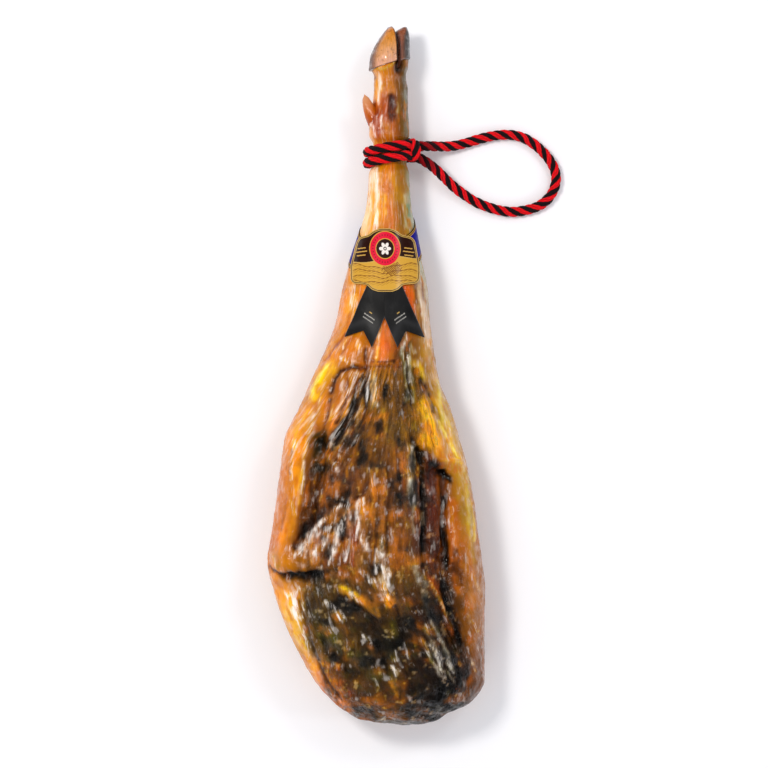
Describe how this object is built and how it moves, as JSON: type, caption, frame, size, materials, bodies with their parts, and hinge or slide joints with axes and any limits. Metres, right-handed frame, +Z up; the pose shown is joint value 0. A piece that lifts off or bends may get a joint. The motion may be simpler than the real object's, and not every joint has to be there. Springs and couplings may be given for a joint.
{
  "type": "cured ham",
  "caption": "Whole dry-cured ham on the bone lying cut side up, with a horn hoof, a twisted rope loop hitched round the shank, a shaped paper label and a folded ribbon.",
  "frame": {"origin": "middle of the box of the ham at the level of the surface it lies on", "axes": "+Y along the leg from the rump to the hoof, +Z up out of the cut side"},
  "size_m": [0.3411, 0.805, 0.1319],
  "materials": {
    "cured_meat": "oily gloss",
    "horn": "polished horn",
    "rope": "twisted cord in two colours",
    "sash_paper": "gloss",
    "label_print": "printed gloss",
    "satin": "satin"
  },
  "bodies": {
    "root": {"ham_leg": "cured_meat", "claw_left": "horn", "claw_right": "horn", "rope_turn_upper": "rope", "rope_turn_lower": "rope", "rope_bight": "rope", "rope_loop": "rope", "label_band": "sash_paper", "label_card": "label_print", "ribbon": "satin"}
  },
  "joints": []
}
